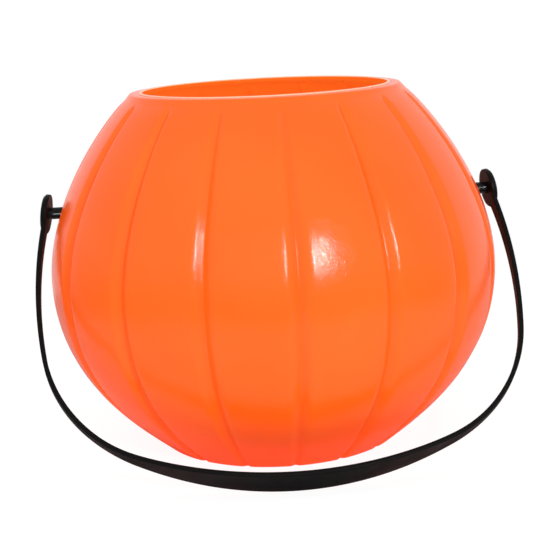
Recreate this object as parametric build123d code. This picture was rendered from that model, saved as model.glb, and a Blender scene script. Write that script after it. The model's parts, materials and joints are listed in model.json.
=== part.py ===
from build123d import *
import os
from math import asin, atan2, cos, degrees, hypot, radians, sin, sqrt

# Pumpkin pail, millimetres. The origin is the middle of the base, +Z is up,
# the handle turns about a line along X and lies down in front of the pail, towards -Y.

# Pail outline, outside
pail_height = 160.3
base_radius = 54.0
belly_radius = 100.8
belly_height = 78.3
neck_radius = 62.8
collar_height = 3.0
collar_radius = 61.9
shoulder_radius = 60.4
shoulder_drop = 0.7
lip_radius = 57.0
mouth_radius = 54.8

# How the outline leaves the base, swells to the belly and closes towards the neck
base_rise_share = 0.18
base_flare_share = 0.37
belly_under_share = 0.54
belly_over_share = 0.46
neck_drop_share = 0.1
neck_flare_share = 0.35
sections_per_half = 6

# Pail walls and foot
wall_thickness = 1.5
floor_thickness = 1.8
lip_thickness = 1.8
rim_round = 0.6
foot_width = 5.0
foot_recess = 1.2

# Grooves that part the lobes
groove_count = 16
groove_width = 10.4
groove_depth = 2.2
groove_run_out = 20.0
run_out_width_share = 0.3
flank_sag_share = 0.25

# Strap handle
pivot_drop = 52.0
pivot_gap = 5.0
strap_pass = 28.0
strap_thickness = 2.0
paddle_radius = 8.6
paddle_neck_round = 7.0
leg_top_width = 7.6
leg_width = 4.6
leg_taper_length = 62.0
grip_width = 17.0
grip_half_length = 84.0
grip_full_share = 0.55
grip_end_share = 0.2
corner_radius = 64.0
table_gap = 0.15

# Turns of the strap from the middle of the grip up to a peg, in degrees
grip_turn = 24.0
corner_turn = 57.5
leg_splay = 9.4
width_switch_share = 0.5

# Snap pegs
peg_radius = 2.65
head_radius = 8.0
head_edge = 0.7
head_rise = 1.6
barb_radius = 3.4
barb_length = 5.0
barb_tip_radius = 2.0
barb_gap = 0.5
slot_width = 1.1
slot_reach_share = 0.6

# Fits and cuts
running_clearance = 0.08
press_overlap = 0.03
cut_overrun = 4.0

neck_height = pail_height - collar_height
pivot_height = pail_height - pivot_drop
groove_pitch = radians(360.0 / groove_count)
groove_half_turn = groove_width / (2 * belly_radius)

lower_outline = [
    (0.0, base_radius),
    (base_rise_share * belly_height, base_radius + base_flare_share * (belly_radius - base_radius)),
    (belly_height - belly_under_share * belly_height, belly_radius),
    (belly_height, belly_radius),
]
crown_height = neck_height - belly_height
upper_outline = [
    (belly_height, belly_radius),
    (belly_height + belly_over_share * crown_height, belly_radius),
    (
        neck_height - neck_drop_share * crown_height,
        neck_radius + neck_flare_share * (belly_radius - neck_radius),
    ),
    (neck_height, neck_radius),
]


def curve_point(outline, t):
    """Height and radius at parameter t of a cubic curve with four control points."""
    weights = ((1 - t) ** 3, 3 * t * (1 - t) ** 2, 3 * t**2 * (1 - t), t**3)
    return tuple(sum(w * p[i] for w, p in zip(weights, outline)) for i in range(2))


def curve_slope(outline, t):
    """Change of radius with height at parameter t."""
    weights = ((1 - t) ** 2, 2 * t * (1 - t), t**2)
    steps = [(b[0] - a[0], b[1] - a[1]) for a, b in zip(outline, outline[1:])]
    rise, run = (sum(w * s[i] for w, s in zip(weights, steps)) for i in range(2))
    return run / rise


def parameter_at(outline, height):
    """Parameter of the curve at a height, by halving."""
    low, high = 0.0, 1.0
    for _ in range(50):
        middle = (low + high) / 2
        if curve_point(outline, middle)[0] < height:
            low = middle
        else:
            high = middle
    return low


def half_of(height):
    """The half of the outline that a height lies on."""
    return lower_outline if height < belly_height else upper_outline


def outer_radius(height):
    """Outside radius of a lobe at a height."""
    outline = half_of(height)
    return curve_point(outline, parameter_at(outline, height))[1]


def wall_reach(height):
    """Wall measured level, so that it is wall_thickness square to the surface."""
    outline = half_of(height)
    return wall_thickness * sqrt(1 + curve_slope(outline, parameter_at(outline, height)) ** 2)


def groove_fade(height):
    """1 along the groove and a smooth fall to 0 where it runs out under the collar."""
    t = min(1.0, (neck_height - height) / groove_run_out)
    return t * t * (3 - 2 * t)


def polar(radius, turn, height):
    return Vector(radius * cos(turn), radius * sin(turn), height)


def lobed_section(height, radius):
    """Level outline of the lobes: a crest arc each, with a flank arc down to the crease on both sides."""
    fade = groove_fade(height)
    depth = groove_depth * fade
    half = groove_half_turn * (run_out_width_share + (1 - run_out_width_share) * sqrt(fade))
    edges = []
    for lobe in range(groove_count):
        start = lobe * groove_pitch
        end = start + groove_pitch
        crease, next_crease = polar(radius - depth, start, height), polar(radius - depth, end, height)
        shoulder, far_shoulder = polar(radius, start + half, height), polar(radius, end - half, height)
        sag = radius - depth * flank_sag_share
        edges.append(Edge.make_three_point_arc(crease, polar(sag, start + half / 2, height), shoulder))
        crest = polar(radius, (start + end) / 2, height)
        edges.append(Edge.make_three_point_arc(shoulder, crest, far_shoulder))
        edges.append(Edge.make_three_point_arc(far_shoulder, polar(sag, end - half / 2, height), next_crease))
    return Wire(edges)


def section_heights(bottom):
    """Heights of the sections from the bottom up to the neck, closest where the outline bends."""
    start = parameter_at(lower_outline, bottom)
    steps = [i / sections_per_half for i in range(sections_per_half + 1)]
    lower = [curve_point(lower_outline, start + (1 - start) * s)[0] for s in steps]
    upper = [curve_point(upper_outline, s)[0] for s in steps]
    return lower + upper[1:]


def turned(*corners):
    """Solid turned about Z from corners given as radius and height."""
    return revolve(Plane.XZ * make_face(Polyline(*corners, close=True)), Axis.Z)


def make_pail():
    """One moulded wall: lobed globe, collar and turned-in lip, with a foot ring and a hole for each peg."""
    outside = Solid.make_loft([lobed_section(z, outer_radius(z)) for z in section_heights(0.0)])
    inside = Solid.make_loft(
        [lobed_section(z, outer_radius(z) - wall_reach(z)) for z in section_heights(floor_height)]
    )
    collar = turned(
        (0, neck_height),
        (collar_radius, neck_height),
        (shoulder_radius, pail_height - shoulder_drop),
        (lip_radius, pail_height),
        (0, pail_height),
    )
    mouth = turned(
        (0, neck_height),
        (neck_radius - wall_reach(neck_height), neck_height),
        (mouth_radius, pail_height - lip_thickness),
        (mouth_radius, pail_height + cut_overrun),
        (0, pail_height + cut_overrun),
    )
    recess_radius = base_radius - groove_depth - foot_width
    recess = Cone(
        recess_radius, recess_radius - foot_recess, foot_recess, align=(Align.CENTER, Align.CENTER, Align.MIN)
    )
    pail = Part(outside.wrapped) + collar - Part(inside.wrapped) - mouth - recess
    top_edges = pail.edges().filter_by(GeomType.CIRCLE).filter_by_position(Axis.Z, pail_height, pail_height)
    pail = fillet(top_edges.sort_by(SortBy.RADIUS)[0], rim_round)
    hole = Cylinder(peg_radius + running_clearance, 2 * (belly_radius + cut_overrun), rotation=(0, 90, 0))
    return pail - Pos(0, 0, pivot_height) * hole


# Arch of the strap in its own plane: x across the pail, y away from the pivot line
floor_height = foot_recess + floor_thickness
pivot_reach = outer_radius(pivot_height) + pivot_gap
strap_drop = pivot_height + strap_pass
splay = radians(leg_splay)
turn_1 = radians(grip_turn)
turn_2 = turn_1 + radians(corner_turn)
turn_3 = radians(90.0) + splay


def arch_radii():
    """Radii of the grip arc and the leg arc that carry the strap from its lowest point to the paddle."""
    end_x = pivot_reach + paddle_radius * sin(splay)
    end_y = paddle_radius * cos(splay)
    grip_x, leg_x = sin(turn_1), sin(turn_3) - sin(turn_2)
    grip_y, leg_y = 1 - cos(turn_1), cos(turn_2) - cos(turn_3)
    need_x = end_x - corner_radius * (sin(turn_2) - sin(turn_1))
    need_y = strap_drop - end_y - corner_radius * (cos(turn_1) - cos(turn_2))
    scale = grip_x * leg_y - leg_x * grip_y
    return (need_x * leg_y - leg_x * need_y) / scale, (grip_x * need_y - grip_y * need_x) / scale


def arch_arcs():
    """Centre, radius and turns of the three arcs on the right half of the arch."""
    grip_radius, leg_radius = arch_radii()
    centre_1 = (0.0, strap_drop - grip_radius)
    step = grip_radius - corner_radius
    centre_2 = (centre_1[0] + step * sin(turn_1), centre_1[1] + step * cos(turn_1))
    step = corner_radius - leg_radius
    centre_3 = (centre_2[0] + step * sin(turn_2), centre_2[1] + step * cos(turn_2))
    return [
        (centre_1, grip_radius, 0.0, turn_1),
        (centre_2, corner_radius, turn_1, turn_2),
        (centre_3, leg_radius, turn_2, turn_3),
    ]


def arc_point(centre, radius, turn):
    return Vector(centre[0] + radius * sin(turn), centre[1] + radius * cos(turn), 0)


def arch_side(offset):
    """Edges of the right half of the arch at an offset from its middle line, and where they start and end."""
    edges = []
    for centre, radius, start, end in arch_arcs():
        points = [arc_point(centre, radius + offset, t) for t in (start, (start + end) / 2, end)]
        edges.append(Edge.make_three_point_arc(*points))
    along = Vector(-sin(splay), -cos(splay), 0)
    tip = points[2] + along * (2 * paddle_radius)
    edges.append(Edge.make_line(points[2], tip))
    return edges, edges[0] @ 0, tip


def arch_band():
    """The strap seen along its width, both halves."""
    half = strap_thickness / 2
    outer, outer_start, outer_tip = arch_side(half)
    inner, inner_start, inner_tip = arch_side(-half)
    right = outer + inner + [Edge.make_line(outer_tip, inner_tip), Edge.make_line(outer_start, inner_start)]
    right_face = Face(Wire(right))
    return Sketch() + right_face + mirror(right_face, about=Plane.YZ)


def width_switch():
    """Point of the corner where the leg's width hands over to the grip's."""
    centre, radius, start, end = arch_arcs()[1]
    return arc_point(centre, radius, start + width_switch_share * (end - start))


def leg_outline():
    """Paddle and tapering leg seen along X, opened wide past the corner where the grip takes over."""
    switch = width_switch().Y + leg_width
    top, low = leg_top_width / 2, leg_width / 2
    corners = [(0, top), (leg_taper_length, low), (switch, low)]
    corners += [(x, -y) for x, y in reversed(corners)]
    leg = make_face(Polyline(*corners, close=True))
    outline = Circle(paddle_radius) + leg
    necks = [v for v in outline.vertices() if 0 < v.X < leg_taper_length]
    outline = fillet(necks, paddle_neck_round)
    wide = strap_drop + cut_overrun - switch
    return outline + Pos(switch + wide / 2, 0) * Rectangle(wide, 2 * (paddle_radius + cut_overrun))


def grip_outline():
    """Grip seen along the drop of the strap, opened wide past the corners where the legs take over."""
    switch = width_switch().X + leg_width
    half_grip, half_leg = grip_width / 2, leg_width / 2
    swell = Bezier(
        (0, half_grip),
        (grip_full_share * grip_half_length, half_grip),
        ((1 - grip_end_share) * grip_half_length, half_leg),
        (grip_half_length, half_leg),
    )
    rest = Polyline((grip_half_length, half_leg), (grip_half_length, 0), (0, 0), (0, half_grip))
    quarter = make_face([swell, rest])
    upper = quarter + mirror(quarter, about=Plane.YZ)
    grip = upper + mirror(upper, about=Plane.XZ)
    bar = Rectangle(2 * switch, leg_width)
    wide = pivot_reach + paddle_radius + cut_overrun - switch
    side = Rectangle(wide, 2 * (paddle_radius + cut_overrun))
    return grip + bar + Pos(switch + wide / 2, 0) * side + Pos(-switch - wide / 2, 0) * side


def make_strap():
    """Strap cut from three outlines: the arch, its legs and its grip."""
    reach = paddle_radius + cut_overrun
    band = extrude(arch_band(), reach, both=True)
    legs = extrude(Plane.YZ * leg_outline(), pivot_reach + reach, both=True)
    grip = extrude(Plane.XZ * grip_outline(), strap_drop + reach, both=True)
    strap = band & legs & grip
    hole = Cylinder(peg_radius - press_overlap, 2 * (pivot_reach + reach), rotation=(0, 90, 0))
    return strap - hole


def rest_angle():
    """Angle of the strap's plane below level that lays its lower edge just over the table."""
    length, half_width = strap_drop + strap_thickness / 2, grip_width / 2
    return degrees(asin((pivot_height - table_gap) / hypot(length, half_width)) - atan2(half_width, length))


def make_peg():
    """Right-hand snap peg: low domed head on the paddle, shank through the wall, split barb inside."""
    half = strap_thickness / 2
    seat = Vector(pivot_reach + half * cos(splay), -half * sin(splay), 0)
    dome = make_face(
        [
            Line((0, 0), (head_radius, 0)),
            Line((head_radius, 0), (head_radius, head_edge)),
            TangentArc((0, head_rise), (head_radius, head_edge), tangent=(1, 0)),
            Line((0, head_rise), (0, 0)),
        ]
    )
    head = revolve(Plane.XZ * dome, Axis.Z)
    head = Plane(seat, x_dir=(0, 0, 1), z_dir=(cos(splay), -sin(splay), 0)) * head
    barb_top = pivot_height + barb_radius
    barb_back = outer_radius(barb_top) - groove_depth - wall_reach(barb_top) - barb_gap
    shank_end = pivot_reach + half + head_edge / 2
    lying = (0, 90, 0)
    shank = Cylinder(peg_radius, shank_end - barb_back, rotation=lying)
    shank = Pos((barb_back + shank_end) / 2, 0, 0) * shank
    barb = Cone(barb_tip_radius, barb_radius, barb_length, rotation=lying)
    barb = Pos(barb_back - barb_length / 2, 0, 0) * barb
    slot_start = barb_back - barb_length
    slot_length = slot_reach_share * (shank_end - slot_start)
    slot = Pos(slot_start + slot_length / 2, 0, 0) * Box(slot_length, 2 * barb_radius, slot_width)
    return head + shank + barb - Rot(X=-180 - rest_angle()) * slot


def place_handle(piece):
    """Turn a piece of the handle from its own plane to where it lies in front of the pail."""
    return Pos(0, 0, pivot_height) * Rot(X=180 + rest_angle()) * piece


right_peg = make_peg()
nodes = {
    "pail_shell": make_pail(),
    "handle_strap": place_handle(make_strap()),
    "right_snap_peg": place_handle(right_peg),
    "left_snap_peg": place_handle(mirror(right_peg, about=Plane.YZ)),
}
os.makedirs("parts", exist_ok=True)
for name, piece in nodes.items():
    piece.label = name
    export_step(piece, f"parts/{name}.step")
    box = piece.bounding_box()
    print(name, len(piece.solids()), round(piece.volume, 1), box.min, box.max)
print("strap rests at", round(rest_angle(), 2), "degrees below level, pivots reach", round(pivot_reach, 2))
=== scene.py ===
import json
import math
import bpy
import numpy as np
from mathutils import Matrix, Vector


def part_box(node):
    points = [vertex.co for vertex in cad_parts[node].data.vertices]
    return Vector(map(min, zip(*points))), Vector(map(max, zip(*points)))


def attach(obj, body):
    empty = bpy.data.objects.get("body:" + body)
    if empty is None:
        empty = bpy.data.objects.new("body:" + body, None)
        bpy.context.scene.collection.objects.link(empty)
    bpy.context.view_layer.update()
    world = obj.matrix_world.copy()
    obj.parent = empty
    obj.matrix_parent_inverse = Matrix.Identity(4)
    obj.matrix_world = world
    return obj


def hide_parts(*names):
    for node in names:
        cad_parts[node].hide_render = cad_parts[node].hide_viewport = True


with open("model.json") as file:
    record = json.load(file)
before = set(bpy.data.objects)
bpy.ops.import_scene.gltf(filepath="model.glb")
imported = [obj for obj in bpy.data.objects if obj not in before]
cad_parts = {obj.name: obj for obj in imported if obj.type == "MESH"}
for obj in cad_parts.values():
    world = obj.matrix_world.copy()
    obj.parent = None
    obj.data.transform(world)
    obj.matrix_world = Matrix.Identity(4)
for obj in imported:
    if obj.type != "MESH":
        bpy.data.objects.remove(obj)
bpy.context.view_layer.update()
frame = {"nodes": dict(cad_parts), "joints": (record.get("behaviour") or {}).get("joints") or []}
print("frame loaded:", ", ".join(sorted(frame["nodes"])))

mm = 0.001
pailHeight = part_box("pail_shell")[1].z / mm
pivotHeight = frame["joints"][0]["pos_m"][2] / mm
pailMiddle = Vector((0, 0, pailHeight / 2 * mm))
plainWhite = (1, 1, 1, 1)
scene = bpy.context.scene


# shared mesh helpers, all sizes in millimetres until the mesh is made
def smoothStep(x):
    x = np.clip(x, 0, 1)
    return x * x * (3 - 2 * x)


def bezierCurve(corners, steps):
    t = np.linspace(0, 1, steps)[:, None]
    start, lead, trail, end = [np.array(p, float) for p in corners]
    return (1 - t) ** 3 * start + 3 * t * (1 - t) ** 2 * lead + 3 * t**2 * (1 - t) * trail + t**3 * end


def roundCorner(before, corner, after, radius, steps):
    # points of the arc that rounds one corner of a profile
    backward = (Vector(before) - Vector(corner)).normalized()
    forward = (Vector(after) - Vector(corner)).normalized()
    half = backward.angle(forward) / 2
    centre = Vector(corner) + (backward + forward).normalized() * radius / math.sin(half)
    start = Vector(corner) + backward * radius / math.tan(half) - centre
    end = Vector(corner) + forward * radius / math.tan(half) - centre
    sweep = start.angle(end)
    points = []
    for i in range(steps + 1):
        share = i / steps
        arm = start * math.sin((1 - share) * sweep) + end * math.sin(share * sweep)
        points.append(tuple(centre + arm / math.sin(sweep)))
    return points


def shadeSmooth(mesh, sharpAngle):
    mesh.polygons.foreach_set("use_smooth", [True] * len(mesh.polygons))
    mesh.set_sharp_from_angle(angle=math.radians(sharpAngle))


def newPiece(name, points, faces, material, sharpAngle=180):
    mesh = bpy.data.meshes.new(name)
    mesh.from_pydata([tuple(p) for p in np.asarray(points) * mm], [], faces)
    mesh.validate()
    shadeSmooth(mesh, sharpAngle)
    piece = bpy.data.objects.new(name, mesh)
    scene.collection.objects.link(piece)
    mesh.materials.append(material)
    return piece


def tubeFaces(rings, sides, firstTip, lastTip):
    # quads between closed rings of points, with a fan of triangles at each end
    faces = []
    for ring in range(rings - 1):
        near, far = ring * sides, (ring + 1) * sides
        for i in range(sides):
            j = (i + 1) % sides
            faces.append((near + i, near + j, far + j, far + i))
    last = (rings - 1) * sides
    for i in range(sides):
        j = (i + 1) % sides
        faces.append((firstTip, j, i))
        faces.append((lastTip, last + i, last + j))
    return faces


def turnedOver(faces):
    return [tuple(reversed(face)) for face in faces]


def turnedPiece(name, profile, sides, material):
    # closed solid turned about X from points given as place along X and radius
    turns = np.linspace(0, 2 * math.pi, sides, endpoint=False)
    points = []
    for x, radius in profile:
        points += [(x, radius * math.cos(t), radius * math.sin(t)) for t in turns]
    first = len(points)
    points += [(profile[0][0], 0, 0), (profile[-1][0], 0, 0)]
    faces = tubeFaces(len(profile), sides, first, first + 1)
    return newPiece(name, points, turnedOver(faces), material)


def joinOrCut(piece, tool, operation, sharpAngle):
    # boolean that is applied at once, the tool is thrown away
    change = piece.modifiers.new("change", "BOOLEAN")
    change.operation = operation
    change.solver = "EXACT"
    change.object = tool
    depsgraph = bpy.context.evaluated_depsgraph_get()
    mesh = bpy.data.meshes.new_from_object(piece.evaluated_get(depsgraph))
    piece.modifiers.clear()
    piece.data = mesh
    shadeSmooth(mesh, sharpAngle)
    bpy.data.objects.remove(tool)


# shared node helpers
def addNode(tree, kind, x, y, **settings):
    node = tree.nodes.new(kind)
    node.location = (x, y)
    for key, value in settings.items():
        setattr(node, key, value)
    return node


def setSockets(node, **values):
    for key, value in values.items():
        node.inputs[key.replace("_", " ")].default_value = value
    return node


def mixColours(tree, factor, low, high, x, y):
    mix = addNode(tree, "ShaderNodeMix", x, y, data_type="RGBA")
    mix.inputs["A"].default_value = (*low, 1)
    mix.inputs["B"].default_value = (*high, 1)
    tree.links.new(factor, mix.inputs["Factor"])
    return mix.outputs["Result"]


def newMaterial(name):
    material = bpy.data.materials.new(name)
    material.use_nodes = True
    tree = material.node_tree
    tree.nodes.clear()
    out = addNode(tree, "ShaderNodeOutputMaterial", 1400, 0)
    return material, tree, out.inputs["Surface"]


# moulded skin: fine orange peel, slow flow marks and light handling scuffs
skinMarks = {
    "scales": {"Peel Scale": 900.0, "Flow Scale": 18.0, "Scuff Scale": 60.0},
    "peelDetail": 1.5,
    "peelRough": 0.45,
    "flowDetail": 3.0,
    "flowRough": 0.5,
    "flowBend": 0.6,
    "flowLow": 0.3,
    "flowHigh": 0.7,
    "streakTurn": (0.5, 0.3, 0.9),
    "streakStretch": (1.0, 9.0, 1.6),
    "streakDetail": 4.0,
    "streakRough": 0.6,
    "streakLow": 0.6,
    "streakHigh": 0.78,
}


def buildMouldedSkin():
    group = bpy.data.node_groups.new("mouldedSkin", "ShaderNodeTree")
    sockets = group.interface
    for name, value in skinMarks["scales"].items():
        sockets.new_socket(name, in_out="INPUT", socket_type="NodeSocketFloat").default_value = value
    for name in ("Peel", "Flow", "Scuff"):
        sockets.new_socket(name, in_out="OUTPUT", socket_type="NodeSocketFloat")
    start = addNode(group, "NodeGroupInput", -900, 0)
    end = addNode(group, "NodeGroupOutput", 700, 0)
    place = addNode(group, "ShaderNodeTexCoord", -900, 300)

    peel = addNode(group, "ShaderNodeTexNoise", -500, 300)
    setSockets(peel, Detail=skinMarks["peelDetail"], Roughness=skinMarks["peelRough"])
    group.links.new(place.outputs["Object"], peel.inputs["Vector"])
    group.links.new(start.outputs["Peel Scale"], peel.inputs["Scale"])
    group.links.new(peel.outputs["Fac"], end.inputs["Peel"])

    flow = addNode(group, "ShaderNodeTexNoise", -500, 0)
    setSockets(flow, Detail=skinMarks["flowDetail"], Roughness=skinMarks["flowRough"])
    setSockets(flow, Distortion=skinMarks["flowBend"])
    group.links.new(place.outputs["Object"], flow.inputs["Vector"])
    group.links.new(start.outputs["Flow Scale"], flow.inputs["Scale"])
    clouds = addNode(group, "ShaderNodeMapRange", -200, 0)
    setSockets(clouds, From_Min=skinMarks["flowLow"], From_Max=skinMarks["flowHigh"])
    group.links.new(flow.outputs["Fac"], clouds.inputs["Value"])
    group.links.new(clouds.outputs["Result"], end.inputs["Flow"])

    # scuffs are thin stretched streaks that the flow marks break up
    stretch = addNode(group, "ShaderNodeMapping", -700, -300)
    setSockets(stretch, Rotation=skinMarks["streakTurn"], Scale=skinMarks["streakStretch"])
    group.links.new(place.outputs["Object"], stretch.inputs["Vector"])
    streak = addNode(group, "ShaderNodeTexNoise", -500, -300)
    setSockets(streak, Detail=skinMarks["streakDetail"], Roughness=skinMarks["streakRough"])
    group.links.new(stretch.outputs["Vector"], streak.inputs["Vector"])
    group.links.new(start.outputs["Scuff Scale"], streak.inputs["Scale"])
    thin = addNode(group, "ShaderNodeMapRange", -200, -300)
    setSockets(thin, From_Min=skinMarks["streakLow"], From_Max=skinMarks["streakHigh"])
    group.links.new(streak.outputs["Fac"], thin.inputs["Value"])
    broken = addNode(group, "ShaderNodeMath", 200, -200, operation="MULTIPLY")
    group.links.new(thin.outputs["Result"], broken.inputs[0])
    group.links.new(clouds.outputs["Result"], broken.inputs[1])
    group.links.new(broken.outputs["Value"], end.inputs["Scuff"])
    return group


mouldedSkin = buildMouldedSkin()


def addPlastic(tree, look, colourMark, roughMark):
    # one mark shifts the colour from deep to light, another the roughness, and the peel is a bump
    marks = addNode(tree, "ShaderNodeGroup", -500, 0, node_tree=mouldedSkin)
    setSockets(marks, Peel_Scale=look["peelScale"], Flow_Scale=look["flowScale"])
    setSockets(marks, Scuff_Scale=look["scuffScale"])
    skin = addNode(tree, "ShaderNodeBsdfPrincipled", 560, 0)
    setSockets(skin, IOR=look["ior"], Specular_IOR_Level=look["gloss"])
    colour = mixColours(tree, marks.outputs[colourMark], look["deep"], look["light"], 0, 200)
    tree.links.new(colour, skin.inputs["Base Color"])
    rough = addNode(tree, "ShaderNodeMapRange", 0, -100)
    setSockets(rough, To_Min=look["roughLow"], To_Max=look["roughHigh"])
    tree.links.new(marks.outputs[roughMark], rough.inputs["Value"])
    tree.links.new(rough.outputs["Result"], skin.inputs["Roughness"])
    bump = addNode(tree, "ShaderNodeBump", 250, -400)
    setSockets(bump, Strength=look["peelStrength"], Distance=look["peelDepth"] * mm)
    tree.links.new(marks.outputs["Peel"], bump.inputs["Height"])
    tree.links.new(bump.outputs["Normal"], skin.inputs["Normal"])
    return skin.outputs["BSDF"]


orangePlastic = {
    "deep": (1.0, 0.128, 0.008),
    "light": (1.0, 0.15, 0.012),
    "through": (1.0, 0.3, 0.03),
    "throughShare": 0.3,
    "roughLow": 0.135,
    "roughHigh": 0.21,
    "gloss": 0.5,
    "ior": 1.49,
    "peelScale": 1900.0,
    "peelStrength": 1.0,
    "peelDepth": 0.085,  # mm, as in the other looks
    "flowScale": 14.0,
    "scuffScale": 50.0,
}
# the cut upper edge of the lip is smoother than the moulded wall, and its pale cream colour is a painted
# highlight: the white room's reflection along the lip
cutEdgeHighlight = {
    **orangePlastic,
    "deep": (0.97, 0.66, 0.42),
    "light": (0.98, 0.74, 0.5),
    "roughLow": 0.06,
    "roughHigh": 0.12,
    "peelStrength": 0.1,
}


def makeOrangePlastic(name, look):
    material, tree, surface = newMaterial(name)
    skin = addPlastic(tree, look, "Flow", "Scuff")
    # thin wall: some light passes through it, and a ray inside the wall leaves it freely
    through = addNode(tree, "ShaderNodeBsdfTranslucent", 560, -500)
    setSockets(through, Color=(*look["through"], 1))
    wall = addNode(tree, "ShaderNodeMixShader", 850, 0)
    setSockets(wall, Fac=look["throughShare"])
    tree.links.new(skin, wall.inputs[1])
    tree.links.new(through.outputs["BSDF"], wall.inputs[2])
    clear = addNode(tree, "ShaderNodeBsdfTransparent", 850, -300)
    facing = addNode(tree, "ShaderNodeNewGeometry", 850, 400)
    leave = addNode(tree, "ShaderNodeMixShader", 1100, 0)
    tree.links.new(facing.outputs["Backfacing"], leave.inputs["Fac"])
    tree.links.new(wall.outputs["Shader"], leave.inputs[1])
    tree.links.new(clear.outputs["BSDF"], leave.inputs[2])
    tree.links.new(leave.outputs["Shader"], surface)
    return material


blackPlastic = {
    "deep": (0.0024, 0.0024, 0.0025),
    "light": (0.011, 0.0105, 0.0105),  # worn by scuffs
    "roughLow": 0.42,
    "roughHigh": 0.64,
    "gloss": 0.1,
    "ior": 1.5,
    "peelScale": 1500.0,
    "peelStrength": 0.5,
    "peelDepth": 0.05,
    "flowScale": 40.0,
    "scuffScale": 120.0,
}
# the pegs are smoother than the strap, with a finer peel
pegPlastic = {
    **blackPlastic,
    "roughLow": 0.2,
    "roughHigh": 0.34,
    "gloss": 0.24,
    "peelScale": 2200.0,
}


def makeBlackPlastic(name, look):
    material, tree, surface = newMaterial(name)
    tree.links.new(addPlastic(tree, look, "Scuff", "Flow"), surface)
    return material


orangeWall = makeOrangePlastic("orangeWall", orangePlastic)
# the lip's pale colour is a painted highlight
lipEdgeHighlight = makeOrangePlastic("lipEdgeHighlight", cutEdgeHighlight)
blackStrap = makeBlackPlastic("blackStrap", blackPlastic)
blackPeg = makeBlackPlastic("blackPeg", pegPlastic)
print("materials ready")


# pail: one moulded wall, lobes parted by grooves, plain collar and turned-in lip
pail = {
    "baseRadius": 54.0,
    "bellyRadius": 100.65,
    "bellyHeight": 78.3,
    "neckRadius": 62.8,
    "collarHeight": 3.0,
    "collarRadius": 62.5,
    "shoulderRadius": 60.4,
    "shoulderDrop": 0.55,
    "beadRadius": 56.1,
    "beadHeight": 0.45,
    "beadLean": 0.15,
    "mouthRadius": 54.8,
    "cutHighlightDrop": 0.43,  # how far down the lip the cut edge and its painted highlight reach
    "baseRiseShare": 0.18,
    "baseFlareShare": 0.37,
    "bellyUnderShare": 0.54,
    "bellyOverShare": 0.42,
    "neckDropShare": 0.16,
    "neckFlareShare": 0.35,
    "wall": 1.5,
    "floor": 1.8,
    "lip": 1.8,
    "footWidth": 4.7,
    "footRecess": 1.2,
    "recessRound": 0.5,
    "footRound": 1.2,
    "floorRound": 3.0,
    "rimRounds": (1.0, 0.8, 0.15, 0.2, 0.4, 0.4),  # from the collar over the bead to the lip
    "pegHole": 2.73,
    "grooves": 16,
    "grooveTurn": 1.5,  # degrees that the lobes stand turned against the pegs
    "grooveWidth": 7.4,
    "grooveDepth": 2.7,
    "grooveStartShare": 0.62,
    "grooveStart": 4.0,
    "grooveRunOut": 38.0,
    "grooveFootShare": 0.5,
    "grooveFootRise": 26.0,
    "grooveFlareShare": -0.45,
    "grooveShoulder": 3.3,
    "creaseRound": 0.45,
    "lobeTopLength": 4.0,
    # mesh rows: heights where their spacing changes, counts, and places over base, foot and floor
    "wallStart": 4.0,
    "lowTop": 30.0,
    "bellyRise": 30.0,
    "neckBand": 14.0,
    "neckGap": 0.4,
    "insideFoot": 6.0,
    "outlineSteps": 200,
    "wallSteps": (22, 26, 18, 22),
    "insideSteps": (8, 26),
    "recessSteps": 3,
    "cornerSteps": 6,
    "baseShares": (0.3, 0.6, 0.9),
    "footShares": (0.3, 0.65),
    "floorShares": (0.93, 0.86, 0.6, 0.3),
    "floorGrooveShares": (0.5, 0, 0, 0),
    # mesh columns over half a lobe, in half groove widths from the crease
    "columnShares": (0, 0.06, 0.12, 0.25, 0.4, 0.54, 0.66, 0.78, 0.9, 1.02, 1.14, 1.27, 1.42, 1.7, 2.4, 3.5),
    "holeSides": 48,
    "sharpAngle": 50,
}
neckHeight = pailHeight - pail["collarHeight"]
floorHeight = pail["footRecess"] + pail["floor"]


def pailOutline():
    # heights and outside radii of a lobe, from the base up to the neck
    swell = pail["bellyRadius"] - pail["baseRadius"]
    close = pail["bellyRadius"] - pail["neckRadius"]
    crown = neckHeight - pail["bellyHeight"]
    baseFlare = pail["baseRadius"] + pail["baseFlareShare"] * swell
    neckFlare = pail["neckRadius"] + pail["neckFlareShare"] * close
    lower = bezierCurve(
        [
            (0, pail["baseRadius"]),
            (pail["baseRiseShare"] * pail["bellyHeight"], baseFlare),
            ((1 - pail["bellyUnderShare"]) * pail["bellyHeight"], pail["bellyRadius"]),
            (pail["bellyHeight"], pail["bellyRadius"]),
        ],
        pail["outlineSteps"],
    )
    upper = bezierCurve(
        [
            (pail["bellyHeight"], pail["bellyRadius"]),
            (pail["bellyHeight"] + pail["bellyOverShare"] * crown, pail["bellyRadius"]),
            (neckHeight - pail["neckDropShare"] * crown, neckFlare),
            (neckHeight, pail["neckRadius"]),
        ],
        pail["outlineSteps"],
    )
    both = np.vstack([lower, upper[1:]])
    return both[:, 0], both[:, 1]


outlineHeights, outlineRadii = pailOutline()
outlineSlopes = np.gradient(outlineRadii, outlineHeights)


def outerRadius(height):
    return float(np.interp(height, outlineHeights, outlineRadii))


def innerRadius(height):
    slope = np.interp(height, outlineHeights, outlineSlopes)
    return float(outerRadius(height) - pail["wall"] * np.sqrt(1 + slope**2))


def grooveDepthAt(height):
    # quick start under the collar, slowly deeper towards the belly, shallower again at the foot
    below = neckHeight - height
    quick = smoothStep(below / pail["grooveStart"])
    slow = smoothStep(below / pail["grooveRunOut"])
    share = pail["grooveStartShare"]
    footShare = pail["grooveFootShare"]
    foot = footShare + (1 - footShare) * smoothStep(height / pail["grooveFootRise"])
    return float(pail["grooveDepth"] * (share * quick + (1 - share) * slow) * foot)


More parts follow.
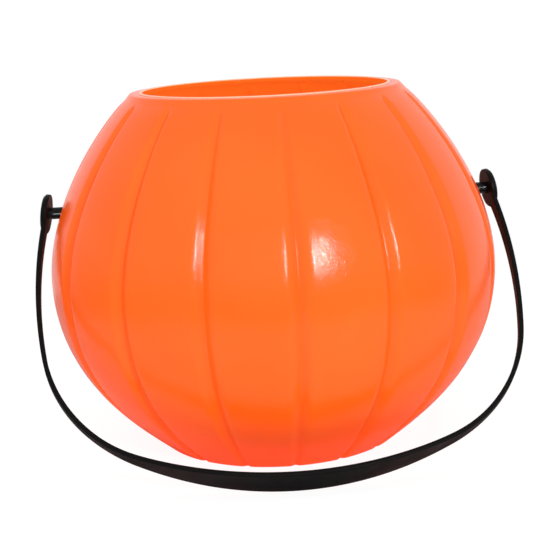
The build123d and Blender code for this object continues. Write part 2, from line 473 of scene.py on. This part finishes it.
def lobeTopDip(height):
    # the lobes round off down to the collar
    start = neckHeight - pail["lobeTopLength"]
    dip = pail["neckRadius"] - pail["collarRadius"]
    return dip * smoothStep((height - start) / pail["lobeTopLength"])


def grooveShape(turns, flare):
    # 1 in the crease, 0 on the lobe: short straight flanks between a rounded crease and broad shoulders
    half = pail["grooveWidth"] / (2 * pail["bellyRadius"]) * flare
    crease = pail["creaseRound"] / pail["bellyRadius"]
    soft = pail["grooveShoulder"] / pail["grooveWidth"]
    rise = 1 - (np.sqrt(turns**2 + crease**2) - crease) / half
    return np.where(rise > soft, rise, np.where(rise < -soft, 0, (rise + soft) ** 2 / (4 * soft)))


# profile rows hold radius, height and groove depth, from the middle of the base round to the inside floor
def rowsOf(points, depth=0):
    return [(*point, depth) for point in points]


def footRows():
    # recessed base, foot ring and the rounded edge under the lobes
    recess = pail["baseRadius"] - pail["grooveDepth"] - pail["footWidth"]
    middle = (0, pail["footRecess"])
    step = (recess - pail["footRecess"], pail["footRecess"])
    ring = (recess, 0)
    edge = (pail["baseRadius"], 0)
    wall = (outerRadius(pail["wallStart"]), pail["wallStart"])
    depth = grooveDepthAt(0)
    rows = [(step[0] * share, pail["footRecess"], 0) for share in pail["baseShares"]]
    rows += rowsOf(roundCorner(middle, step, ring, pail["recessRound"], pail["recessSteps"]))
    rows += rowsOf(roundCorner(step, ring, edge, pail["recessRound"], pail["recessSteps"]))
    bend = roundCorner(ring, edge, wall, pail["footRound"], pail["cornerSteps"])
    rows += [(recess + share * (bend[0][0] - recess), 0, share * depth) for share in pail["footShares"]]
    return rows + rowsOf(bend, depth)


def wallRows(start):
    # up the outside of the lobes, closer together where the grooves begin
    bellyTop = pail["bellyHeight"] + pail["bellyRise"]
    stops = [start, pail["lowTop"], bellyTop, neckHeight - pail["neckBand"], neckHeight - pail["neckGap"]]
    rows = []
    for low, high, steps in zip(stops, stops[1:], pail["wallSteps"]):
        for z in np.linspace(low, high, steps)[1:]:
            rows.append((outerRadius(z) - lobeTopDip(z), z, grooveDepthAt(z)))
    return rows


def rimRows(wallTop):
    # collar, sloping shoulder, fine bead and lip
    rim = [
        wallTop,
        (pail["collarRadius"], neckHeight),
        (pail["shoulderRadius"], pailHeight - pail["shoulderDrop"]),
        (pail["beadRadius"], pailHeight - pail["beadHeight"]),
        (pail["beadRadius"] - pail["beadLean"], pailHeight),
        (pail["mouthRadius"], pailHeight),
        (pail["mouthRadius"], pailHeight - pail["lip"]),
        (innerRadius(neckHeight), neckHeight),
    ]
    rows = []
    for i, radius in enumerate(pail["rimRounds"], 1):
        rows += rowsOf(roundCorner(rim[i - 1], rim[i], rim[i + 1], radius, pail["cornerSteps"]))
    return rows


def insideRows():
    # down the inside of the wall, round its foot and in over the floor
    neckSteps, wallSteps = pail["insideSteps"]
    bandEnd = neckHeight - pail["neckBand"]
    heights = list(np.linspace(neckHeight, bandEnd, neckSteps))
    heights += list(np.linspace(bandEnd, pail["insideFoot"], wallSteps)[1:])
    rows = [(innerRadius(z), z, grooveDepthAt(z)) for z in heights]
    above = (innerRadius(pail["insideFoot"]), pail["insideFoot"])
    corner = (innerRadius(floorHeight), floorHeight)
    bend = roundCorner(above, corner, (0, floorHeight), pail["floorRound"], pail["cornerSteps"])
    depth = grooveDepthAt(0)
    rows += rowsOf(bend, depth)
    for share, grooveShare in zip(pail["floorShares"], pail["floorGrooveShares"]):
        rows.append((bend[-1][0] * share, floorHeight, depth * grooveShare))
    return rows


def pailRows():
    rows = footRows()
    rows += wallRows(rows[-1][1])
    rows += rimRows(rows[-1][:2])
    return rows + insideRows()


def lobeColumns():
    # turn of each column about the pail's axis, and how far it stands from the nearest crease
    pitch = 2 * math.pi / pail["grooves"]
    half = pail["grooveWidth"] / (2 * pail["bellyRadius"])
    side = [share * half for share in pail["columnShares"]] + [pitch / 2]
    lobe = np.array(side + [pitch - turn for turn in reversed(side[1:-1])])
    shift = math.radians(pail["grooveTurn"])
    turns = np.concatenate([lobe + k * pitch + shift for k in range(pail["grooves"])])
    return turns, np.tile(np.minimum(lobe, pitch - lobe), pail["grooves"])


def makePail():
    turns, fromCrease = lobeColumns()
    rows = pailRows()
    points = []
    for radius, height, depth in rows:
        flare = 1 + pail["grooveFlareShare"] * (1 - depth / pail["grooveDepth"])
        radii = radius - depth * grooveShape(fromCrease, flare)
        points += list(zip(radii * np.cos(turns), radii * np.sin(turns), np.full_like(radii, height)))
    first = len(points)
    points += [(0, 0, pail["footRecess"]), (0, 0, floorHeight)]
    faces = tubeFaces(len(rows), len(turns), first, first + 1)
    piece = newPiece("pail", points, turnedOver(faces), orangeWall, pail["sharpAngle"])

    # the top of the lip gets the pale material, a painted highlight on the cut edge
    piece.data.materials.append(lipEdgeHighlight)
    cutHighlightHeight = pailHeight - pail["cutHighlightDrop"]
    for ring, (lower, upper) in enumerate(zip(rows, rows[1:])):
        if min(lower[1], upper[1]) > cutHighlightHeight:
            for face in range(ring * len(turns), (ring + 1) * len(turns)):
                piece.data.polygons[face].material_index = 1

    # one drill goes through both walls
    drillEnds = [(-pail["bellyRadius"], pail["pegHole"]), (pail["bellyRadius"], pail["pegHole"])]
    drill = turnedPiece("drill", drillEnds, pail["holeSides"], orangeWall)
    drill.location.z = pivotHeight * mm
    joinOrCut(piece, drill, "DIFFERENCE", pail["sharpAngle"])
    return piece


pailPiece = makePail()
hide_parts("pail_shell")
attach(pailPiece, "pail")
print("pail:", len(pailPiece.data.polygons), "faces")


# strap handle: three arcs a side, wide grip, narrow legs, round paddles
strap = {
    "pivotGap": 5.926,  # from the wall to the middle of the strip, along the peg
    "footPass": 28.0,  # how far the grip would hang below the foot
    "thickness": 2.0,
    "paddleRadius": 8.6,
    "paddleBlend": 2.2,
    "legTopWidth": 7.6,
    "legWidth": 4.6,
    "legTaper": 62.0,
    "gripWidth": 17.0,
    "gripHalfLength": 84.0,
    "gripFullShare": 0.55,
    "gripEndShare": 0.2,
    "cornerRadius": 64.0,
    "tableGap": 0.15,
    "gripTurn": 24.0,
    "cornerTurn": 57.5,
    "legSplay": 9.4,
    "switchShare": 0.5,  # where along the corner arc the grip's width hands over to the leg's
    "edgeRound": 0.3,
    "swellSteps": 120,
    "arcSteps": (36, 30, 44),
    "paddleSteps": 40,
    "acrossSteps": 8,
    "sharpAngle": 60,
}
strapHalf = strap["thickness"] / 2
pivotReach = outerRadius(pivotHeight) + strap["pivotGap"]
strapDrop = pivotHeight + strap["footPass"]
splay = math.radians(strap["legSplay"])


def restTurn():
    # how far the strap's plane hangs below level when its lower edge is just over the table
    length, half = strapDrop + strapHalf, strap["gripWidth"] / 2
    return math.asin((pivotHeight - strap["tableGap"]) / math.hypot(length, half)) - math.atan2(half, length)


handleTurn = math.pi + restTurn()


def placeHandle(points):
    # from the strap's own plane (x across, y down the strap, z across its width) to where it lies
    turn = Matrix.Rotation(handleTurn, 3, "X")
    return np.asarray(points) @ np.array(turn).T + np.array([0, 0, pivotHeight])


def strapArcs():
    # centre, radius and turns of the three arcs on the right half of the arch
    gripEnd = math.radians(strap["gripTurn"])
    cornerEnd = math.radians(strap["gripTurn"] + strap["cornerTurn"])
    turns = [0, gripEnd, cornerEnd, math.pi / 2 + splay]
    sines, cosines = np.sin(turns), np.cos(turns)
    corner = strap["cornerRadius"]
    endX = pivotReach + strap["paddleRadius"] * math.sin(splay)
    endY = strap["paddleRadius"] * math.cos(splay)
    # the radii of grip and leg follow from where the leg has to end
    acrossLeft = endX - corner * (sines[2] - sines[1])
    downLeft = strapDrop - endY - corner * (cosines[1] - cosines[2])
    rates = [[sines[1], sines[3] - sines[2]], [1 - cosines[1], cosines[2] - cosines[3]]]
    grip, leg = np.linalg.solve(rates, [acrossLeft, downLeft])
    radii = [grip, corner, leg]
    centres = [np.array([0, strapDrop - grip])]
    for i in (1, 2):
        step = radii[i - 1] - radii[i]
        centres.append(centres[-1] + step * np.array([sines[i], cosines[i]]))
    return list(zip(centres, radii, turns[:-1], turns[1:]))


def legHalf(y):
    # half width of the leg, blended into the round paddle
    taper = min(max(y / strap["legTaper"], 0), 1)
    leg = strap["legTopWidth"] / 2 + taper * (strap["legWidth"] - strap["legTopWidth"]) / 2
    disc = math.sqrt(max(strap["paddleRadius"] ** 2 - y * y, 0))
    if y < 0:
        return disc
    blend = max(strap["paddleBlend"] - abs(disc - leg), 0) ** 2 / (4 * strap["paddleBlend"])
    return max(disc, leg) + blend * smoothStep(y / strap["paddleRadius"])


def strapStations():
    # places along the right half: middle of the strip, direction square to it, half width
    arcs = strapArcs()
    places = []
    for (centre, radius, start, end), steps in zip(arcs, strap["arcSteps"]):
        for turn in np.linspace(start, end, steps, endpoint=False):
            out = np.array([math.sin(turn), math.cos(turn)])
            places.append((centre + radius * out, out))
    legCentre, legRadius, _, legEnd = arcs[2]
    out = np.array([math.sin(legEnd), math.cos(legEnd)])
    along = np.array([-math.sin(splay), -math.cos(splay)])
    for turn in np.linspace(0, math.pi, strap["paddleSteps"]):
        reach = strap["paddleRadius"] * (1 - math.cos(turn))
        places.append((legCentre + legRadius * out + along * reach, out))

    swell = bezierCurve(
        [
            (0, strap["gripWidth"] / 2),
            (strap["gripFullShare"] * strap["gripHalfLength"], strap["gripWidth"] / 2),
            ((1 - strap["gripEndShare"]) * strap["gripHalfLength"], strap["legWidth"] / 2),
            (strap["gripHalfLength"], strap["legWidth"] / 2),
        ],
        strap["swellSteps"],
    )
    cornerCentre, cornerRadius, cornerStart, cornerEnd = arcs[1]
    switchTurn = cornerStart + strap["switchShare"] * (cornerEnd - cornerStart)
    switchY = cornerCentre[1] + cornerRadius * math.cos(switchTurn)
    stations = []
    for middle, out in places:
        x, y = middle
        if y > switchY:
            half = float(np.interp(x, swell[:, 0], swell[:, 1]))
        else:
            half = legHalf(y)
        stations.append((middle, out, half))
    return stations


def makeStrap():
    right = strapStations()
    mirror = np.array([-1, 1])
    left = [(middle * mirror, out * mirror, half) for middle, out, half in right[:0:-1]]
    steps = strap["acrossSteps"]
    acrossShares = [math.sin(math.pi / 2 * i / steps) for i in range(-steps, steps + 1)]
    points = []
    for middle, out, half in left + right:
        ring = []
        for share in acrossShares:
            across = share * half
            edge = half - abs(across)
            if middle[1] < 0:
                edge = max(strap["paddleRadius"] - math.hypot(middle[1], across), 0)
            inward = min(edge / strap["edgeRound"], 1)
            drop = strap["edgeRound"] * (1 - math.sqrt(1 - (1 - inward) ** 2))
            ring.append((across, strapHalf - drop))
        points += [(*(middle + rise * out), across) for across, rise in ring]
        points += [(*(middle - rise * out), across) for across, rise in reversed(ring)]
    sides = 2 * len(acrossShares)
    first = len(points)
    tips = [tuple(np.mean(points[:sides], 0)), tuple(np.mean(points[-sides:], 0))]
    faces = tubeFaces(len(left + right), sides, first, first + 1)
    return newPiece("strapHandle", placeHandle(points + tips), faces, blackStrap, strap["sharpAngle"])


strapPiece = makeStrap()
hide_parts("handle_strap")
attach(strapPiece, "handle")
print("strap:", len(strapPiece.data.polygons), "faces")


# snap pegs: low domed head outside the paddle, shank through the wall, split barb inside
peg = {
    "radius": 2.65,
    "headRadius": 8.0,
    "headEdge": 0.7,
    "headRise": 1.6,
    "headRound": 0.35,
    "barbRadius": 3.4,
    "barbLength": 5.0,
    "barbTipRadius": 2.0,
    "barbClear": 2.9,  # from the inside of the wall to the back of the barb
    "barbRounds": (0.5, 0.3, 0.2),  # tip, widest edge, neck
    "slotWidth": 0.6,
    "slotShare": 0.8,
    "sawHalfHeight": 5.0,
    "sawOverrun": 1.0,
    "domeShares": (0.9, 0.8, 0.65, 0.5, 0.35, 0.2, 0.08),
    "shankSides": 48,
    "headSides": 72,
    "barbSteps": 4,
    "headSteps": 5,
    "sharpAngle": 35,
}
barbBack = innerRadius(pivotHeight + peg["barbRadius"]) - peg["barbClear"]
barbTip = barbBack - peg["barbLength"]
shankEnd = pivotReach + strapHalf + peg["headEdge"] / 2


def makeShank(name):
    outline = [
        (barbTip, 0),
        (barbTip, peg["barbTipRadius"]),
        (barbBack, peg["barbRadius"]),
        (barbBack, peg["radius"]),
        (shankEnd, peg["radius"]),
    ]
    profile = []
    for i, radius in enumerate(peg["barbRounds"], 1):
        profile += roundCorner(outline[i - 1], outline[i], outline[i + 1], radius, peg["barbSteps"])
    return turnedPiece(name, profile + [outline[-1]], peg["shankSides"], blackPeg)


def makeHead():
    # seated square on the splayed paddle
    under = (0, peg["headRadius"])
    rim = (peg["headEdge"], peg["headRadius"])
    dome = peg["headRise"] - peg["headEdge"]
    profile = [under] + roundCorner(under, rim, (peg["headRise"], 0), peg["headRound"], peg["headSteps"])
    for share in peg["domeShares"]:
        profile.append((peg["headEdge"] + dome * (1 - share**2), share * peg["headRadius"]))
    head = turnedPiece("head", profile, peg["headSides"], blackPeg)
    head.data.transform(Matrix.Rotation(-splay, 4, "Z"))
    seat = (pivotReach + strapHalf * math.cos(splay), -strapHalf * math.sin(splay), 0)
    head.data.transform(Matrix.Translation(Vector(seat) * mm))
    return head


def makeSaw():
    # thin block that splits the barb and shank, level when the handle lies down
    ends = (barbTip - peg["sawOverrun"], barbTip + peg["slotShare"] * (shankEnd - barbTip))
    tall, thin = peg["sawHalfHeight"], peg["slotWidth"] / 2
    corners = [(x, y, z) for x in ends for y in (-tall, tall) for z in (-thin, thin)]
    faces = [(0, 1, 3, 2), (4, 6, 7, 5), (0, 4, 5, 1), (2, 3, 7, 6), (0, 2, 6, 4), (1, 5, 7, 3)]
    saw = newPiece("saw", corners, faces, blackPeg)
    saw.data.transform(Matrix.Rotation(-handleTurn, 4, "X"))
    return saw


def makePeg(name, side):
    piece = makeShank(name)
    joinOrCut(piece, makeHead(), "UNION", peg["sharpAngle"])
    joinOrCut(piece, makeSaw(), "DIFFERENCE", peg["sharpAngle"])
    lie = Matrix.Translation((0, 0, pivotHeight * mm)) @ Matrix.Rotation(handleTurn, 4, "X")
    piece.data.transform(lie)
    if side < 0:
        piece.data.transform(Matrix.Diagonal((-1, 1, 1, 1)))
        piece.data.flip_normals()
    return piece


for name, node, side in (("leftPeg", "left_snap_peg", -1), ("rightPeg", "right_snap_peg", 1)):
    pegPiece = makePeg(name, side)
    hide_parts(node)
    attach(pegPiece, "handle")
print("pegs ready")


# camera at the photograph's angle; the frame is square
view = {
    "distance": 650.0,
    "pitch": 11.19,
    "roll": 2.77,
    "yaw": 4.3,
    "focalPixels": 1417.0,
    "framePixels": 551.0,
    "aimPixel": (273.0, 261.0),
    "sensor": 36.0,
    "clipStart": 0.01,
    "clipEnd": 50.0,
}


def makeCamera():
    data = bpy.data.cameras.new("photoCamera")
    data.sensor_width = view["sensor"]
    data.lens = view["focalPixels"] / view["framePixels"] * view["sensor"]
    data.clip_start = view["clipStart"]
    data.clip_end = view["clipEnd"]
    half = view["framePixels"] / 2
    data.shift_x = (half - view["aimPixel"][0]) / view["framePixels"]
    data.shift_y = (view["aimPixel"][1] - half) / view["framePixels"]
    camera = bpy.data.objects.new("photoCamera", data)
    pitch, yaw = math.radians(view["pitch"]), math.radians(view["yaw"])
    back = Vector((-math.sin(yaw) * math.cos(pitch), -math.cos(yaw) * math.cos(pitch), math.sin(pitch)))
    camera.location = pailMiddle + back * view["distance"] * mm
    roll = Matrix.Rotation(-math.radians(view["roll"]), 3, "Z")
    look = (-back).to_track_quat("-Z", "Y").to_matrix() @ roll
    camera.rotation_euler = look.to_euler()
    scene.collection.objects.link(camera)
    scene.camera = camera


makeCamera()
print("camera ready")


# studio in metres: small pale floor, white room, small key right of the camera, fill and top light
studio = {
    "floorSize": 0.6,
    "floorColour": (0.55, 0.55, 0.55),
    # the floor's glow is painted light; near the pail it is a painted orange bounce and shade from the pail
    "floorGlow": (0.92, 0.92, 0.92),
    "nearGlow": (0.95, 0.12, 0.12),
    "glowNear": 0.06,
    "glowFar": 0.25,
    "floorWhite": 0.76,
    "floorBright": 1.2,
    "roomLight": 0.83,
    "roomWhite": 1.0,
    "backdropWay": (0.3, 0.95, 0.0),
    "backdropMirror": 1.0,
    "frontMirror": 0.6,
    "lowMirror": 0.15,
    "backdropStart": 0.15,
    "backdropFull": 0.8,
    "horizonBand": 0.15,
    "keyTurn": 21.5,
    "keyRise": 19.2,
    "keyDistance": 1.1,
    "keySize": (0.08, 0.056),
    "keyPower": 5.2,
    "fillTurn": -12.0,
    "fillSize": (0.4, 0.4),
    "fillPower": 0.9,
    "topPlace": (-0.6, -0.5, 1.2),
    "topSize": (1.0, 0.8),
    "topPower": 3.0,
}


def makePaleFloor():
    material, tree, surface = newMaterial("paleFloor")
    path = addNode(tree, "ShaderNodeLightPath", -600, 300)
    plain = setSockets(addNode(tree, "ShaderNodeBsdfDiffuse", 0, 0), Color=(*studio["floorColour"], 1))
    # painted light: the floor glows for diffuse rays, orange near the pail as painted bounce and shade from
    # it, and white further out
    place = addNode(tree, "ShaderNodeTexCoord", -1000, -300)
    reach = addNode(tree, "ShaderNodeVectorMath", -800, -300, operation="LENGTH")
    tree.links.new(place.outputs["Object"], reach.inputs[0])
    away = addNode(tree, "ShaderNodeMapRange", -600, -300)
    setSockets(away, From_Min=studio["glowNear"], From_Max=studio["glowFar"])
    tree.links.new(reach.outputs["Value"], away.inputs["Value"])
    bounce = mixColours(tree, away.outputs["Result"], studio["nearGlow"], studio["floorGlow"], -400, -300)
    glow = addNode(tree, "ShaderNodeEmission", -200, -200)
    tree.links.new(bounce, glow.inputs["Color"])
    tree.links.new(path.outputs["Is Diffuse Ray"], glow.inputs["Strength"])
    lit = addNode(tree, "ShaderNodeAddShader", 100, -50)
    tree.links.new(plain.outputs["BSDF"], lit.inputs[0])
    tree.links.new(glow.outputs["Emission"], lit.inputs[1])

    # the camera sees it mostly white, with the shadow left in the rest
    white = addNode(tree, "ShaderNodeEmission", 0, -400)
    setSockets(white, Color=plainWhite, Strength=studio["floorBright"])
    seen = addNode(tree, "ShaderNodeMath", 0, 200, operation="MULTIPLY")
    seen.inputs[1].default_value = studio["floorWhite"]
    tree.links.new(path.outputs["Is Camera Ray"], seen.inputs[0])
    mix = addNode(tree, "ShaderNodeMixShader", 300, 0)
    tree.links.new(seen.outputs["Value"], mix.inputs["Fac"])
    tree.links.new(lit.outputs["Shader"], mix.inputs[1])
    tree.links.new(white.outputs["Emission"], mix.inputs[2])
    tree.links.new(mix.outputs["Shader"], surface)
    return material


def makeFloor():
    half = studio["floorSize"] / 2 / mm
    corners = [(-half, -half, 0), (half, -half, 0), (half, half, 0), (-half, half, 0)]
    floor = newPiece("floor", corners, [(0, 1, 2, 3)], makePaleFloor())


def makeRoom():
    world = bpy.data.worlds.new("softRoom")
    world.use_nodes = True
    scene.world = world
    tree = world.node_tree
    tree.nodes.clear()
    out = addNode(tree, "ShaderNodeOutputWorld", 700, 0)
    soft = addNode(tree, "ShaderNodeBackground", 0, 0)
    setSockets(soft, Color=plainWhite, Strength=studio["roomLight"])
    white = addNode(tree, "ShaderNodeBackground", 0, -200)
    setSockets(white, Color=plainWhite, Strength=studio["roomWhite"])
    path = addNode(tree, "ShaderNodeLightPath", -500, 200)
    seen = addNode(tree, "ShaderNodeMath", -250, 200, operation="MAXIMUM")
    tree.links.new(path.outputs["Is Camera Ray"], seen.inputs[0])
    tree.links.new(path.outputs["Is Transmission Ray"], seen.inputs[1])
    plain = addNode(tree, "ShaderNodeMixShader", 300, 0)
    tree.links.new(seen.outputs["Value"], plain.inputs["Fac"])
    tree.links.new(soft.outputs["Background"], plain.inputs[1])
    tree.links.new(white.outputs["Background"], plain.inputs[2])

    # reflections show the white backdrop, and the dimmer room on the camera's side
    place = addNode(tree, "ShaderNodeTexCoord", -900, -500)
    behind = addNode(tree, "ShaderNodeVectorMath", -500, -500, operation="DOT_PRODUCT")
    behind.inputs[1].default_value = studio["backdropWay"]
    tree.links.new(place.outputs["Generated"], behind.inputs[0])
    mirror = addNode(tree, "ShaderNodeMapRange", -150, -500)
    setSockets(mirror, From_Min=studio["backdropStart"], From_Max=studio["backdropFull"])
    setSockets(mirror, To_Max=studio["backdropMirror"])
    tree.links.new(behind.outputs["Value"], mirror.inputs["Value"])
    # the camera's side is dimmer still below the horizon
    parts = addNode(tree, "ShaderNodeSeparateXYZ", -600, -800)
    tree.links.new(place.outputs["Generated"], parts.inputs["Vector"])
    level = addNode(tree, "ShaderNodeMapRange", -400, -800)
    setSockets(level, From_Min=-studio["horizonBand"], From_Max=studio["horizonBand"])
    setSockets(level, To_Min=studio["lowMirror"], To_Max=studio["frontMirror"])
    tree.links.new(parts.outputs["Z"], level.inputs["Value"])
    tree.links.new(level.outputs["Result"], mirror.inputs["To Min"])
    mirrored = setSockets(addNode(tree, "ShaderNodeBackground", 150, -500), Color=plainWhite)
    tree.links.new(mirror.outputs["Result"], mirrored.inputs["Strength"])
    mix = addNode(tree, "ShaderNodeMixShader", 500, 0)
    tree.links.new(path.outputs["Is Glossy Ray"], mix.inputs["Fac"])
    tree.links.new(plain.outputs["Shader"], mix.inputs[1])
    tree.links.new(mirrored.outputs["Background"], mix.inputs[2])
    tree.links.new(mix.outputs["Shader"], out.inputs["Surface"])


def makeSoftBox(name, place, size, power):
    light = bpy.data.lights.new(name, "AREA")
    light.shape = "RECTANGLE"
    light.size, light.size_y = size
    light.energy = power
    box = bpy.data.objects.new(name, light)
    box.location = place
    box.rotation_euler = (pailMiddle - place).to_track_quat("-Z", "Y").to_euler()
    scene.collection.objects.link(box)
    return box


def besideCamera(turn, rise, distance):
    # a place given by its turn to the right of the camera and its rise above level
    around, up = math.radians(turn - view["yaw"]), math.radians(rise)
    way = Vector((math.sin(around) * math.cos(up), -math.cos(around) * math.cos(up), math.sin(up)))
    return pailMiddle + distance * way


def makeLights():
    keyPlace = besideCamera(studio["keyTurn"], studio["keyRise"], studio["keyDistance"])
    makeSoftBox("keyBox", keyPlace, studio["keySize"], studio["keyPower"])
    fillPlace = besideCamera(studio["fillTurn"], studio["keyRise"], studio["keyDistance"])
    fillBox = makeSoftBox("fillBox", fillPlace, studio["fillSize"], studio["fillPower"])
    topBox = makeSoftBox("topBox", Vector(studio["topPlace"]), studio["topSize"], studio["topPower"])
    for box in (fillBox, topBox):
        box.visible_glossy = False  # only the key shows as a highlight


makeFloor()
makeRoom()
makeLights()
scene.view_settings.view_transform = "Standard"
print("studio ready")
